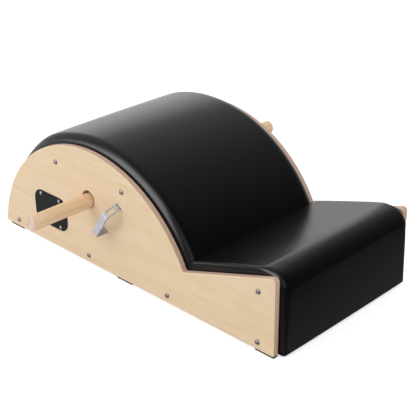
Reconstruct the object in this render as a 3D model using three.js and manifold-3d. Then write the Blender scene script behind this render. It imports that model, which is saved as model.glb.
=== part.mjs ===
// A spine corrector: a padded barrel and a padded seat on a wooden box, with a loose pole across it.
// Millimetres, Z up. X runs from the barrel end to the seat end, and Y from the near side to the far
// side. The pieces are laid out from the heel, the point where the barrel end meets the panels' bottom
// edge, at mid width. At the end the whole is moved so that its origin is the middle of its box, on
// the surface that the feet stand on.
import * as THREE from "three";
import { mergeVertices } from "three/addons/utils/BufferGeometryUtils.js";
import Module from "manifold-3d";

const wasm = await Module();
wasm.setup();

// Overall shape of the two side panels
const panel_thickness = 15;
const inner_width = 417; // between the panels
const arc_radius = 341; // top edge of the panels, over the barrel
const arc_centre_drop = 53.5; // the arc's centre lies below the panels' bottom edge
const notch_degrees = 63.9; // where the arc ends at the seat, down from its top
const seat_run = 257.8; // level length of the seat slope, from the notch to the seat end
const seat_slope_degrees = 18.47;
const face_ease = 2.5; // rounding along both faces of a panel
const heel_round = 5;
const toe_round = 4;
const front_round = 9;
const notch_round = 5;

// Clearances and small common values
const rest_gap = 0.3; // between pieces that rest on each other
const skin_gap = 0.5; // between the foam and its cover
const pad_gap = 0.9; // between the two pads at the crease
const overrun = 2; // how far a cut runs past the face that it opens
const weld_distance = 0.0005;

// Plywood decks under the pads, housed in grooves in the panels
const deck_thickness = 9;
const barrel_deck_depth = 18; // outer face of the bent deck below the panels' arc
const seat_deck_depth = 8.9; // top of the seat deck below the panels' edge, square to the slope
const groove_depth = 5;
const deck_nose_round = 6; // at most, where the deck is thick enough for it
const barrel_deck_overlap = 24; // the bent deck runs on below the seat deck
const front_pad_thickness = 27;
const deck_lift = 3; // lowest edge of the decks and pads above the panels' bottom edge

// Pads
const barrel_rise = 24; // barrel pad above the panels' arc
const barrel_crown = 2;
const barrel_shoulder = 24;
const heel_thinning = 3; // the barrel pad is this much thinner where it nears the floor
const thinning_start_degrees = 30; // down from the arc's top
const thinning_end_degrees = 52;
const seat_rise_rear = 22.3; // seat pad above the panels' edge, at the crease
const seat_rise_front = 16.3;
const seat_nose_round = 44;
const seat_crown = 2;
const seat_shoulder = 20;
const side_wall = 3; // least upright part of a pad's side
const front_overhang = 15; // front of the seat pad past the panels
const cover_thickness = 1.2;

// Cross rails
const rail_width = 44;
const rail_depth = 22;
const rail_lift = 8; // bottom rails above the panels' bottom edge
const left_rail_degrees = 21.6; // the two upper rails, down from the arc's top
const right_rail_degrees = 23.2;
const middle_rail_offset = -9; // from the arc's centre
const notch_rail_setback = 50;

// Screws: the ones that hold the panels to the rails, and the small ones of the plate
const panel_screw = { head: 6, dome: 3.4, shank: 3, length: 46, socket: 2.2, socket_depth: 1.9, tip: 3 };
const plate_screw = { head: 5.2, dome: 2.6, shank: 1.9, length: 12, socket: 1.8, socket_depth: 1.3, tip: 2 };
const screw_clearance = 0.3;
const tip_room = 1.5; // a blind hole is this much deeper than its screw

// Pole and the holes that it lies in
const pole_radius = 17.25;
const pole_length = 763;
const pole_chamfer = 2;
const pole_hole_radius = 21;
const pole_hole_offset = 1.5; // from the arc's centre
const pole_hole_z = 168.5;

// Plate on the near panel
const plate_width = 121;
const plate_height = 86;
const plate_thickness = 1.5;
const plate_corner = 27;
const plate_x = 194.3; // from the heel
const plate_z = 92;
const plate_screw_span_x = 69;
const plate_screw_span_z = 68.5;

// Strap bracket: a flat bar bent into a loop, with a slot in its sloping leg
const bar_width = 17;
const bar_thickness = 3;
const bar_bend = 5; // radius of the bends, at the middle of the bar
const bar_ease = 0.6;
const bracket_offset = 57.5; // foot of the square leg, from the arc's centre
const bracket_z = 110;
const bracket_lean_degrees = 56.4;
const bracket_standoff = 34; // outer face of the bar from the panel
const bracket_run = 71.5;
const bracket_span = 90.4; // between the two feet
const bracket_landing = 4; // the sloping leg turns square this far from the panel
const landing_bend = 4;
const slot_length = 22;
const slot_width = 11;
const slot_end = 7; // from the outer bend's corner to the slot
const tang_stop = 6; // wood left behind the bar's ends, which are let into the panel

// Feet under the panels
const foot_length = 50;
const foot_thickness = 3.5;
const foot_side_inset = 1;
const heel_foot_inset = 20;
const toe_foot_inset = 1;

// Facets
const arc_steps = 56;
const corner_steps = 4;
const round_sides = 16;
const pole_sides = 40;
const pole_hole_sides = 48;
const screw_sides = 14;
const dome_steps = 3;
const barrel_columns = 34;
const seat_nose_columns = 9;
const seat_top_columns = 9;
const seat_front_columns = 4;
const shoulder_rows = 4;
const crown_rows = 4;

const slope = THREE.MathUtils.degToRad(seat_slope_degrees);
const bracket_lean = THREE.MathUtils.degToRad(bracket_lean_degrees);
const left_rail_angle = THREE.MathUtils.degToRad(-left_rail_degrees);
const right_rail_angle = THREE.MathUtils.degToRad(right_rail_degrees);
const quarter_turn = Math.PI / 2;
const half_inner = inner_width / 2;
const panel_face = half_inner + panel_thickness;
const deck_radius = arc_radius - barrel_deck_depth;
const deck_inner_radius = deck_radius - deck_thickness;
const pad_radius = arc_radius + barrel_rise;
const arc_centre_x = Math.sqrt(arc_radius ** 2 - arc_centre_drop ** 2);
const arc_centre = [arc_centre_x, -arc_centre_drop];
const tang_length = panel_thickness - tang_stop;
const nose_tangent = Math.tan((quarter_turn - slope) / 2); // of half the seat deck's front corner
const deck_nose = Math.min(deck_nose_round, deck_thickness * nose_tangent);
const middle_rail_x = arc_centre_x + middle_rail_offset;
const pole_hole_x = arc_centre_x + pole_hole_offset;
const bracket_x = arc_centre_x + bracket_offset;
const along = [Math.cos(slope), Math.sin(slope)]; // up the seat
const square = [-Math.sin(slope), Math.cos(slope)]; // off the seat

// Finishes
const finish = (color, roughness, metalness) => new THREE.MeshStandardMaterial({ color, roughness, metalness });
const beech_ply = () => finish("#e5cdaa", 0.55, 0);
const bare_ply = () => finish("#cfae84", 0.75, 0);
const pine = () => finish("#d9bb8c", 0.7, 0);
const dowel_wood = () => finish("#d3a877", 0.5, 0);
const black_vinyl = () => finish("#1b1b1c", 0.4, 0);
const grey_foam = () => finish("#8f8f88", 0.95, 0);
const steel = () => finish("#b9bbbf", 0.3, 1);
const satin_aluminium = () => finish("#b6b9c0", 0.38, 1);
const black_plate = () => finish("#1c1c1d", 0.45, 0);
const foot_rubber = () => finish("#2f2d2c", 0.8, 0);

// Points of an X-Z outline
const plus = (a, b, scale) => [a[0] + b[0] * scale, a[1] + b[1] * scale];
const on_arc = (radius, angle) => plus(arc_centre, [Math.sin(angle), Math.cos(angle)], radius);
const arc_angle = (point) => Math.atan2(point[0] - arc_centre[0], point[1] - arc_centre[1]);
const mix = (a, b, share) => a + (b - a) * share;
const mix_points = (a, b, share) => [mix(a[0], b[0], share), mix(a[1], b[1], share)];
const steps = (count) => Array.from({ length: count + 1 }, (_, i) => i / count);

// The notch where the arc meets the seat line, and the seat end of the panels
const notch = on_arc(arc_radius, THREE.MathUtils.degToRad(notch_degrees));
const panel_length = notch[0] + seat_run;

// The point of the seat line, or of a line at some rise above it, that has a given X
function on_seat(x, rise) {
  const raised = plus(notch, square, rise);
  return plus(raised, along, (x - raised[0]) / along[0]);
}

// Where a line at some rise above the seat line runs into a circle about the arc's centre
function seat_meets_arc(radius, rise) {
  const raised = plus(notch, square, rise);
  const offset = (raised[0] - arc_centre[0]) * square[0] + (raised[1] - arc_centre[1]) * square[1];
  const half_chord = Math.sqrt(radius * radius - offset * offset);
  return plus(plus(arc_centre, square, offset), along, half_chord);
}

// Where a circle about the arc's centre comes down to a height at the barrel end
const heel_angle = (radius, z) => -Math.acos((z + arc_centre_drop) / radius);

// Points of a circle about the arc's centre
const arc_points = (radius, from, to) => steps(arc_steps).map((t) => on_arc(radius, mix(from, to, t)));

// Points of the round that replaces a corner of an outline
function rounded(before, corner, after, radius, count = corner_steps) {
  const arm_to = (point) => new THREE.Vector2(point[0] - corner[0], point[1] - corner[1]).normalize();
  const a = arm_to(before);
  const b = arm_to(after);
  const half = a.angleTo(b) / 2;
  const centre = a.clone().add(b).setLength(radius / Math.sin(half));
  const start = a.multiplyScalar(radius / Math.tan(half)).sub(centre);
  const end = b.multiplyScalar(radius / Math.tan(half)).sub(centre);
  const turn = Math.atan2(start.cross(end), start.dot(end));
  return steps(count).map((t) => {
    const spoke = start.clone().rotateAround(new THREE.Vector2(), turn * t).add(centre);
    return [corner[0] + spoke.x, corner[1] + spoke.y];
  });
}

const shape_of = (points) => new THREE.Shape(points.map(([x, z]) => new THREE.Vector2(x, z)));

// A flat piece with an X-Z outline, from one Y to another
function slab(points, from_y, to_y) {
  const geometry = new THREE.ExtrudeGeometry(shape_of(points), { depth: to_y - from_y, bevelEnabled: false });
  return geometry.rotateX(quarter_turn).translate(0, to_y, 0);
}

// The same with its edges rounded over along both faces
function eased_slab(points, from_y, to_y, ease) {
  const geometry = new THREE.ExtrudeGeometry(shape_of(points), {
    depth: to_y - from_y - 2 * ease,
    bevelThickness: ease,
    bevelSize: ease,
    bevelOffset: -ease,
    bevelSegments: 2,
  });
  return geometry.rotateX(quarter_turn).translate(0, to_y - ease, 0);
}

// A round bar along Y
function round_bar(radius, from_y, to_y, sides, x, z) {
  const bar = new THREE.CylinderGeometry(radius, radius, to_y - from_y, sides);
  return bar.translate(x, (from_y + to_y) / 2, z);
}

function solid_of(geometry) {
  const bare = geometry.index ? geometry.toNonIndexed() : geometry.clone();
  bare.deleteAttribute("normal");
  bare.deleteAttribute("uv");
  const welded = mergeVertices(bare, weld_distance);
  return new wasm.Manifold(
    new wasm.Mesh({
      numProp: 3,
      vertProperties: welded.attributes.position.array,
      triVerts: new Uint32Array(welded.index.array),
    }),
  );
}

function geometry_of(solid) {
  const mesh = solid.getMesh();
  const geometry = new THREE.BufferGeometry();
  geometry.setAttribute("position", new THREE.BufferAttribute(mesh.vertProperties, 3));
  geometry.setIndex(new THREE.BufferAttribute(mesh.triVerts, 1));
  const flat = geometry.toNonIndexed();
  flat.computeVertexNormals();
  return flat;
}

// A geometry with others cut out of it
function cut(blank, tools) {
  return geometry_of(tools.reduce((left, tool) => left.subtract(solid_of(tool)), solid_of(blank)));
}

// Places of the rails, which the panel screws share
const seat_deck_under = -seat_deck_depth - deck_thickness;
const front_board_x = panel_length + front_overhang - front_pad_thickness - rest_gap - deck_thickness;

function rail_places() {
  const low = rail_lift + rail_depth / 2;
  const inside = deck_inner_radius - rest_gap;
  const end_x = on_arc(inside, heel_angle(inside, low + rail_depth / 2))[0] + rail_width / 2;
  const notch_x = notch[0] - notch_rail_setback;
  const front_x = front_board_x - rest_gap - rail_width / 2;
  const front_z = on_seat(front_x, seat_deck_under - rest_gap)[1] - rail_depth / 2;
  const flat_radius = Math.sqrt(inside * inside - (rail_width / 2) ** 2) - rail_depth / 2;
  const left = on_arc(flat_radius, left_rail_angle);
  const right = on_arc(flat_radius, right_rail_angle);
  return {
    end_rail: { x: end_x, z: low, turn: 0 },
    middle_rail: { x: middle_rail_x, z: low, turn: 0 },
    notch_rail: { x: notch_x, z: low, turn: 0 },
    front_rail: { x: front_x, z: low, turn: 0 },
    nose_rail: { x: front_x, z: front_z, turn: 0, bevelled: true },
    left_arc_rail: { x: left[0], z: left[1], turn: left_rail_angle },
    right_arc_rail: { x: right[0], z: right[1], turn: right_rail_angle },
  };
}
const rails = rail_places();

// Places of the plate's screws
const plate_screw_places = [-1, 1].flatMap((a) =>
  [-1, 1].map((b) => ({
    x: plate_x + (a * plate_screw_span_x) / 2,
    z: plate_z + (b * plate_screw_span_z) / 2,
  })),
);

// Outline of a side panel: the arc, the notch, the seat slope and the upright seat end
function panel_outline() {
  const heel = on_arc(arc_radius, heel_angle(arc_radius, 0));
  const toe = [panel_length, 0];
  const nose = on_seat(panel_length, 0);
  const arc = arc_points(arc_radius, arc_angle(notch), arc_angle(heel));
  const inner_arc = arc.slice(1, -1);
  return [
    ...rounded(inner_arc.at(-1), heel, toe, heel_round),
    ...rounded(heel, toe, nose, toe_round),
    ...rounded(toe, nose, notch, front_round),
    ...rounded(nose, notch, inner_arc[0], notch_round),
    ...inner_arc,
  ];
}

// Outline of the bent deck, or of its groove when it is grown by a clearance
function bent_deck_outline(grow) {
  const outer = deck_radius + grow;
  const inner = deck_inner_radius - grow;
  const last = seat_meets_arc(deck_radius, seat_deck_under);
  const end = arc_angle(last) + (barrel_deck_overlap + grow) / deck_radius;
  const low = deck_lift - grow;
  return [
    ...arc_points(inner, heel_angle(inner, low), end),
    ...arc_points(outer, heel_angle(outer, low), end).reverse(),
  ];
}

// Outline of the seat deck, whose rear end lies on the bent deck and whose nose is rounded over
function seat_deck_outline(grow) {
  const rear = deck_radius + rest_gap - grow;
  const top = -seat_deck_depth + grow;
  const under = seat_deck_under - grow;
  const front = front_board_x + deck_thickness + grow;
  return [
    seat_meets_arc(rear, under),
    on_seat(front, under),
    ...rounded(on_seat(front, under), on_seat(front, top), seat_meets_arc(rear, top), deck_nose),
    seat_meets_arc(rear, top),
  ];
}

// Outline of the upright board at the seat end
function front_board_outline(grow) {
  const back = front_board_x - grow;
  const front = front_board_x + deck_thickness + grow;
  const top = seat_deck_under - rest_gap + grow;
  return [[back, deck_lift - grow], [front, deck_lift - grow], on_seat(front, top), on_seat(back, top)];
}

// The bracket's own axes: s runs up the panel along its lean, h stands off the panel, and n runs
// across the bar. These are the X-Z directions of s and of n.
const lean = [Math.cos(bracket_lean), Math.sin(bracket_lean)];
const across = [Math.sin(bracket_lean), -Math.cos(bracket_lean)];

// A block that a foot of the bracket is let into, as a cut from a panel's outer face
function mortise(side, s) {
  const centre = plus([bracket_x, bracket_z], lean, s);
  const half_s = bar_thickness / 2 + rest_gap;
  const half_n = bar_width / 2 + rest_gap;
  const corner = (a, b) => plus(plus(centre, lean, a * half_s), across, b * half_n);
  const outline = [corner(-1, 1), corner(1, 1), corner(1, -1), corner(-1, -1)];
  const deep = panel_face - tang_length - rest_gap;
  const out = panel_face + overrun;
  return side > 0 ? slab(outline, deep, out) : slab(outline, -out, -deep);
}

function side_panel(side) {
  const y = (a, b) => (side > 0 ? [a, b] : [-b, -a]);
  const through = y(half_inner - overrun, panel_face + overrun);
  const groove = y(half_inner - overrun, half_inner + groove_depth);
  const hole = panel_screw.shank + screw_clearance;
  const tools = [
    ...[bent_deck_outline, seat_deck_outline, front_board_outline].map((f) => slab(f(rest_gap), ...groove)),
    ...Object.values(rails).map((r) => round_bar(hole, ...through, screw_sides, r.x, r.z)),
    round_bar(pole_hole_radius, ...through, pole_hole_sides, pole_hole_x, pole_hole_z),
    mortise(side, 0),
    mortise(side, bracket_span),
  ];
  if (side < 0) {
    const depth = plate_screw.length - plate_thickness - rest_gap + tip_room;
    tools.push(...plate_screw_places.map((p) => plate_screw_hole(p, -panel_face - overrun, depth - panel_face)));
  }
  return cut(eased_slab(panel_outline(), ...y(half_inner, panel_face), face_ease), tools);
}

// Hole for a screw of the plate, from one Y to another
function plate_screw_hole({ x, z }, from_y, to_y) {
  return round_bar(plate_screw.shank + screw_clearance, from_y, to_y, round_sides, x, z);
}

const deck_half_width = half_inner + groove_depth - rest_gap;
const board = (outline) => slab(outline, -deck_half_width, deck_half_width);

// A cross rail, about its own middle, with a hole in each end for its screw
function cross_rail({ x, bevelled }) {
  const half = half_inner - rest_gap;
  const w = rail_width / 2;
  const top_at = (dx) =>
    bevelled
      ? rail_depth / 2 + on_seat(x + dx, 0)[1] - on_seat(x, 0)[1]
      : rail_depth / 2;
  const outline = [[-w, -rail_depth / 2], [w, -rail_depth / 2], [w, top_at(w)], [-w, top_at(-w)]];
  const reach = panel_screw.length - panel_thickness - rest_gap + tip_room;
  const bore = panel_screw.shank + screw_clearance;
  const ends = [[-half - overrun, reach - half_inner], [half_inner - reach, half + overrun]];
  return cut(
    slab(outline, -half, half),
    ends.map(([a, b]) => round_bar(bore, a, b, screw_sides, 0, 0)),
  );
}

// A screw with a domed head and a round socket, its shank along -Y and the underside of its head
// at the origin
function dome_screw({ head, dome, shank, length, socket, socket_depth, tip }) {
  const rim_angle = Math.acos(socket / head);
  const rim = dome * Math.sin(rim_angle);
  const profile = [
    [0, -length],
    [shank, -length + tip],
    [shank, 0],
    ...steps(dome_steps).map((t) => [head * Math.cos(rim_angle * t), dome * Math.sin(rim_angle * t)]),
    [socket, rim - socket_depth],
    [0, rim - socket_depth],
  ];
  return new THREE.LatheGeometry(profile.map(([x, y]) => new THREE.Vector2(x, y)), screw_sides);
}

// Pole, along Y about its own middle
function pole_shape() {
  const half = pole_length / 2;
  const profile = [
    [0, -half],
    [pole_radius - pole_chamfer, -half],
    [pole_radius, -half + pole_chamfer],
    [pole_radius, half - pole_chamfer],
    [pole_radius - pole_chamfer, half],
    [0, half],
  ];
  return new THREE.LatheGeometry(profile.map(([x, y]) => new THREE.Vector2(x, y)), pole_sides);
}

// Plate, flat on the near panel
function plate_shape() {
  const w = plate_width / 2;
  const h = plate_height / 2;
  const corners = [[-w, -h], [w, -h], [w, h], [-w, h]].map(([a, b]) => [plate_x + a, plate_z + b]);
  const after = (i) => corners[(i + 1) % corners.length];
  const outline = corners.flatMap((c, i) => rounded(corners.at(i - 1), c, after(i), plate_corner));
  const back = -panel_face - rest_gap;
  const face = back - plate_thickness;
  const holes = plate_screw_places.map((p) => plate_screw_hole(p, face - overrun, back + overrun));
  return cut(slab(outline, face, back), holes);
}

// Middle line of the bracket's bar in its s-h plane, with its bends drawn as arcs
function bracket_line() {
  const outer = bracket_standoff - bar_thickness / 2;
  const corners = [
    [0, -tang_length],
    [0, outer],
    [bracket_run, outer],
    [bracket_span, bracket_landing],
    [bracket_span, -tang_length],
  ];
  const radii = [0, bar_bend, bar_bend, landing_bend, 0];
  return corners.flatMap((c, i) => (radii[i] ? rounded(corners[i - 1], c, corners[i + 1], radii[i]) : [c]));
}

// Both faces of a bar of some thickness along a line, as one outline
function thickened(line, thickness) {
  const side_of = (sign) =>
    line.map((point, i) => {
      const a = line[Math.max(i - 1, 0)];
      const b = line[Math.min(i + 1, line.length - 1)];
      const run = Math.hypot(b[0] - a[0], b[1] - a[1]);
      const normal = [(a[1] - b[1]) / run, (b[0] - a[0]) / run];
      return plus(point, normal, (sign * thickness) / 2);
    });
  return [...side_of(-1), ...side_of(1).reverse()];
}

// Bracket in its own axes, then turned into place on one panel
function bracket_shape(side) {
  const blank = new THREE.ExtrudeGeometry(shape_of(thickened(bracket_line(), bar_thickness)), {
    depth: bar_width - 2 * bar_ease,
    bevelThickness: bar_ease,
    bevelSize: bar_ease,
    bevelOffset: -bar_ease,
    bevelSegments: 1,
  }).translate(0, 0, bar_ease - bar_width / 2);
  const outer = bracket_standoff - bar_thickness / 2;
  const leg = new THREE.Vector2(bracket_span - bracket_run, bracket_landing - outer);
  const middle = leg.clone().setLength(slot_end + slot_length / 2).add(new THREE.Vector2(bracket_run, outer));
  const slot = new THREE.BoxGeometry(slot_length, bar_thickness + 2 * overrun, slot_width);
  slot.rotateZ(leg.angle()).translate(middle.x, middle.y, 0);
  const shape = cut(blank, [slot]);
  const s_axis = new THREE.Vector3(lean[0], 0, lean[1]);
  const h_axis = new THREE.Vector3(0, side, 0);
  const placing = new THREE.Matrix4().makeBasis(s_axis, h_axis, s_axis.clone().cross(h_axis));
  placing.setPosition(bracket_x, side * panel_face, bracket_z);
  return shape.applyMatrix4(placing);
}

// Rows of a pad across its width: where each lies, and how far the surface has come down there.
// The first and last rows are the feet of the side walls, at the deck.
function pad_rows(inset, shoulder, crown) {
  const half = half_inner - rest_gap - inset;
  const round = shoulder - inset;
  const crown_at = (y) => crown * (y / half) ** 2;
  const edge = steps(shoulder_rows).map((t) => {
    const y = half - round * (1 - Math.cos(quarter_turn * t));
    return { y, drop: crown_at(y) + round * (1 - Math.sin(quarter_turn * t)) };
  });
  const middle = steps(crown_rows).slice(1, -1).map((t) => {
    const y = mix(-(half - round), half - round, t);
    return { y, drop: crown_at(y) };
  });
  const left = edge.map((row) => ({ ...row, y: -row.y }));
  return [{ y: -half, foot: true }, ...left, ...middle, ...edge.reverse(), { y: half, foot: true }];
}

// How much thinner the barrel pad is at an angle from the arc's top
function thinning_at(angle) {
  const down = THREE.MathUtils.radToDeg(-angle);
  return heel_thinning * THREE.MathUtils.smoothstep(down, thinning_start_degrees, thinning_end_degrees);
}

// Columns of the barrel pad along its arc: each has a foot on the deck and a top on the pad's face
function barrel_columns_of(inset) {
  const foot = deck_radius + rest_gap;
  const top = pad_radius - inset;
  const low = deck_lift + inset;
  const rest = -seat_deck_depth + rest_gap + inset;
  const foot_ends = [heel_angle(foot, low), arc_angle(seat_meets_arc(foot, rest))];
  const top_ends = [heel_angle(top - heel_thinning, low), arc_angle(seat_meets_arc(top, rest))];
  return steps(barrel_columns).map((t) => {
    const angle = mix(...top_ends, t);
    return { foot: on_arc(foot, mix(...foot_ends, t)), top: on_arc(top - thinning_at(angle), angle) };
  });
}

// Columns of the seat pad from the crease, up the seat, round the nose and down the front
function seat_columns_of(inset) {
  const deck = -seat_deck_depth + rest_gap;
  const face = panel_length + front_overhang - inset;
  const board_face = front_board_x + deck_thickness + rest_gap;
  const low = deck_lift + inset;
  const rear = pad_radius + pad_gap + inset;
  const start = seat_meets_arc(rear, seat_rise_rear - inset);
  const corner = on_seat(face, seat_rise_front - inset);
  const base_corner = on_seat(board_face, deck);
  const base_start = seat_meets_arc(rear, deck);
  const nose = rounded(start, corner, [face, low], seat_nose_round - inset, seat_nose_columns);
  const base_nose = rounded(
    base_start,
    base_corner,
    [board_face, low],
    deck_nose + rest_gap,
    seat_nose_columns,
  );
  const stretch = (a, b, count) => steps(count).slice(0, -1).map((t) => mix_points(a, b, t));
  const tops = [
    ...stretch(start, nose[0], seat_top_columns),
    ...nose,
    ...stretch([face, low], nose.at(-1), seat_front_columns).reverse(),
  ];
  const feet = [
    ...stretch(base_start, base_nose[0], seat_top_columns),
    ...base_nose,
    ...stretch([board_face, low], base_nose.at(-1), seat_front_columns).reverse(),
  ];
  return tops.map((top, i) => ({ top, foot: feet[i] }));
}

// The grid of points of a pad's upper face and side walls, one list of rows for each column. Where
// the pad is thin its sides come down less, so that some of the upright wall stays.
function pad_grid(columns, rows) {
  const deepest = Math.max(...rows.filter((row) => !row.foot).map((row) => row.drop));
  return columns.map(({ foot, top }) => {
    const height = Math.hypot(top[0] - foot[0], top[1] - foot[1]);
    const limit = Math.min(1, (height - side_wall) / deepest);
    return rows.map((row) => {
      const share = row.foot ? 0 : 1 - (row.drop * limit) / height;
      const [x, z] = mix_points(foot, top, share);
      return [x, row.y, z];
    });
  });
}

// Collects triangles between points
function surface() {
  const corners = [];
  const triangle = (a, b, c) => corners.push(...a, ...b, ...c);
  const quad = (a, b, c, d) => {
    triangle(a, b, c);
    triangle(a, c, d);
  };
  const geometry = () => {
    const made = new THREE.BufferGeometry();
    made.setAttribute("position", new THREE.Float32BufferAttribute(corners, 3));
    made.computeVertexNormals();
    return made;
  };
  return { triangle, quad, geometry };
}

// The upper face, side walls and end walls of a pad, facing out, or in when turned
function add_shell(skin, grid, turned) {
  const quad = turned ? (a, b, c, d) => skin.quad(d, c, b, a) : skin.quad;
  const last = grid.at(-1);
  grid.slice(1).forEach((next, i) => {
    const here = grid[i];
    here.slice(1).forEach((_, j) => quad(here[j], next[j], next[j + 1], here[j + 1]));
  });
  [[grid[0], false], [last, true]].forEach(([ring, far]) => {
    const count = ring.length;
    for (let j = 0; j < count / 2 - 1; j += 1) {
      const [a, b, c, d] = [ring[j], ring[j + 1], ring[count - 2 - j], ring[count - 1 - j]];
      if (far) quad(a, d, c, b);
      else quad(a, b, c, d);
    }
  });
}

// A solid pad: its shell, closed along the deck
function pad_solid(columns, rows) {
  const grid = pad_grid(columns, rows);
  const skin = surface();
  add_shell(skin, grid, false);
  grid.slice(1).forEach((next, i) => {
    const here = grid[i];
    skin.quad(here.at(-1), next.at(-1), next[0], here[0]);
  });
  return skin.geometry();
}

// A cover: an outer and an inner shell, joined round the rim at the deck
function pad_cover(outer_columns, outer_rows, inner_columns, inner_rows) {
  const outer = pad_grid(outer_columns, outer_rows);
  const inner = pad_grid(inner_columns, inner_rows);
  const skin = surface();
  add_shell(skin, outer, false);
  add_shell(skin, inner, true);
  outer.slice(1).forEach((next, i) => {
    const here = outer[i];
    skin.quad(inner[i][0], inner[i + 1][0], next[0], here[0]);
    skin.quad(here.at(-1), next.at(-1), inner[i + 1].at(-1), inner[i].at(-1));
  });
  skin.quad(outer[0].at(-1), inner[0].at(-1), inner[0][0], outer[0][0]);
  skin.quad(outer.at(-1)[0], inner.at(-1)[0], inner.at(-1).at(-1), outer.at(-1).at(-1));
  return skin.geometry();
}

function cover_of(columns_of, shoulder, crown) {
  const rows_of = (inset) => pad_rows(inset, shoulder, crown);
  return pad_cover(columns_of(0), rows_of(0), columns_of(cover_thickness), rows_of(cover_thickness));
}

function foam_of(columns_of, shoulder, crown) {
  const inset = cover_thickness + skin_gap;
  return pad_solid(columns_of(inset), pad_rows(inset, shoulder, crown));
}

// A thin foot under a panel, about its own middle
function foot_shape() {
  return new THREE.BoxGeometry(foot_length, panel_thickness - 2 * foot_side_inset, foot_thickness - rest_gap);
}

// Assembly
const corrector = new THREE.Group();

function add(name, geometry, material, x = 0, y = 0, z = 0) {
  const mesh = new THREE.Mesh(geometry, material);
  mesh.name = name;
  mesh.position.set(x, y, z);
  corrector.add(mesh);
  return mesh;
}

const sides = { near: -1, far: 1 };

add("barrel_deck", board(bent_deck_outline(0)), bare_ply());
add("seat_deck", board(seat_deck_outline(0)), bare_ply());
add("front_board", board(front_board_outline(0)), bare_ply());
add("barrel_foam", foam_of(barrel_columns_of, barrel_shoulder, barrel_crown), grey_foam());
add("seat_foam", foam_of(seat_columns_of, seat_shoulder, seat_crown), grey_foam());
add("barrel_cover", cover_of(barrel_columns_of, barrel_shoulder, barrel_crown), black_vinyl());
add("seat_cover", cover_of(seat_columns_of, seat_shoulder, seat_crown), black_vinyl());

Object.entries(rails).forEach(([name, rail]) => {
  add(name, cross_rail(rail), pine(), rail.x, 0, rail.z).rotation.y = rail.turn;
});

Object.entries(sides).forEach(([side_name, side]) => {
  add(`${side_name}_side_panel`, side_panel(side), beech_ply());
  add(`${side_name}_strap_bracket`, bracket_shape(side), satin_aluminium());
  Object.entries(rails).forEach(([rail_name, rail]) => {
    const seat = side * (panel_face + rest_gap);
    const screw = add(`${side_name}_${rail_name}_screw`, dome_screw(panel_screw), steel(), rail.x, seat, rail.z);
    if (side < 0) screw.rotation.x = Math.PI;
  });
  const feet = {
    heel: heel_foot_inset + foot_length / 2,
    middle: panel_length / 2,
    toe: panel_length - toe_foot_inset - foot_length / 2,
  };
  Object.entries(feet).forEach(([place, x]) => {
    const y = side * (half_inner + panel_thickness / 2);
    add(`${side_name}_${place}_foot`, foot_shape(), foot_rubber(), x, y, -(foot_thickness + rest_gap) / 2);
  });
});

add("name_plate", plate_shape(), black_plate());
plate_screw_places.forEach(({ x, z }, i) => {
  const seat = -(panel_face + 2 * rest_gap + plate_thickness);
  add(`plate_screw_${i + 1}`, dome_screw(plate_screw), steel(), x, seat, z).rotation.x = Math.PI;
});

const pole_z = pole_hole_z - (pole_hole_radius - pole_radius) + rest_gap;
add("pole", pole_shape(), dowel_wood(), pole_hole_x, 0, pole_z);

// The origin goes to the middle of the whole, at the height of the feet
const box = new THREE.Box3().setFromObject(corrector, true);
const middle = box.getCenter(new THREE.Vector3());
corrector.position.set(-middle.x, -middle.y, -box.min.z);

export default new THREE.Group().add(corrector);
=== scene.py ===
import math
import bmesh
import bpy
import numpy as np
from mathutils import Euler, Matrix, Vector


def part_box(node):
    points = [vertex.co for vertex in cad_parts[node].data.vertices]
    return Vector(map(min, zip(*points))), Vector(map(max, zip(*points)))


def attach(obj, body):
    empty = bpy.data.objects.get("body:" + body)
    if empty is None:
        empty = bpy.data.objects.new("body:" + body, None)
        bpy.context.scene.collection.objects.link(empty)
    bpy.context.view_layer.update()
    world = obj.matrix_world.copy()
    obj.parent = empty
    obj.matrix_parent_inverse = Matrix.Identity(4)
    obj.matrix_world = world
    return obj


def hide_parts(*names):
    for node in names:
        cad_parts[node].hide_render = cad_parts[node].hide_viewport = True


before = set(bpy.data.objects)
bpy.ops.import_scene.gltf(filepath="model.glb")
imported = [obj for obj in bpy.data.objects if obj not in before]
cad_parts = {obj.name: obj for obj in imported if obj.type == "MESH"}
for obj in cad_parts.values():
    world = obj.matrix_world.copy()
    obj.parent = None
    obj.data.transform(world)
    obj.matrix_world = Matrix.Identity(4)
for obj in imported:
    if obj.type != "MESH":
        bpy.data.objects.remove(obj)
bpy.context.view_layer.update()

# The looks of a spine corrector: a padded barrel and a padded seat on a plywood box, with a loose
# pole across it. Metres, Z up. X runs from the barrel end to the seat end, and Y from the near side
# to the far side. Sizes are named here in millimetres, and places come from the frame.
mm = 0.001
quarter_turn = math.pi / 2
panel_sides = {"near": -1, "far": 1}

# Side panels, as the frame has them
panel_low, panel_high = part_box("near_side_panel")
panel_floor = panel_low.z
panel_end = panel_high.x
half_inner = -panel_high.y
panel_face = -panel_low.y
panel_thickness = panel_face - half_inner
pole_low, pole_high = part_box("pole")
pole_middle = (pole_low + pole_high) / 2
pole_hole_offset = 1.5 * mm  # from the arc's centre
arc_radius = 341 * mm
arc_centre_drop = 53.5 * mm  # the arc's centre lies below the panels' bottom edge
arc_centre = Vector((pole_middle.x - pole_hole_offset, panel_floor - arc_centre_drop))
notch_angle = math.radians(63.9)  # where the arc ends at the seat, down from its top
slope = math.radians(18.47)
along = Vector((math.cos(slope), math.sin(slope)))  # up the seat
square = Vector((-math.sin(slope), math.cos(slope)))  # off the seat
face_ease = 2.5 * mm
heel_round = 5 * mm
toe_round = 4 * mm
front_round = 9 * mm
notch_round = 5 * mm
pole_hole_radius = 21 * mm
pole_hole_z = panel_floor + 168.5 * mm
hole_ease = 0.9 * mm

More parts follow.
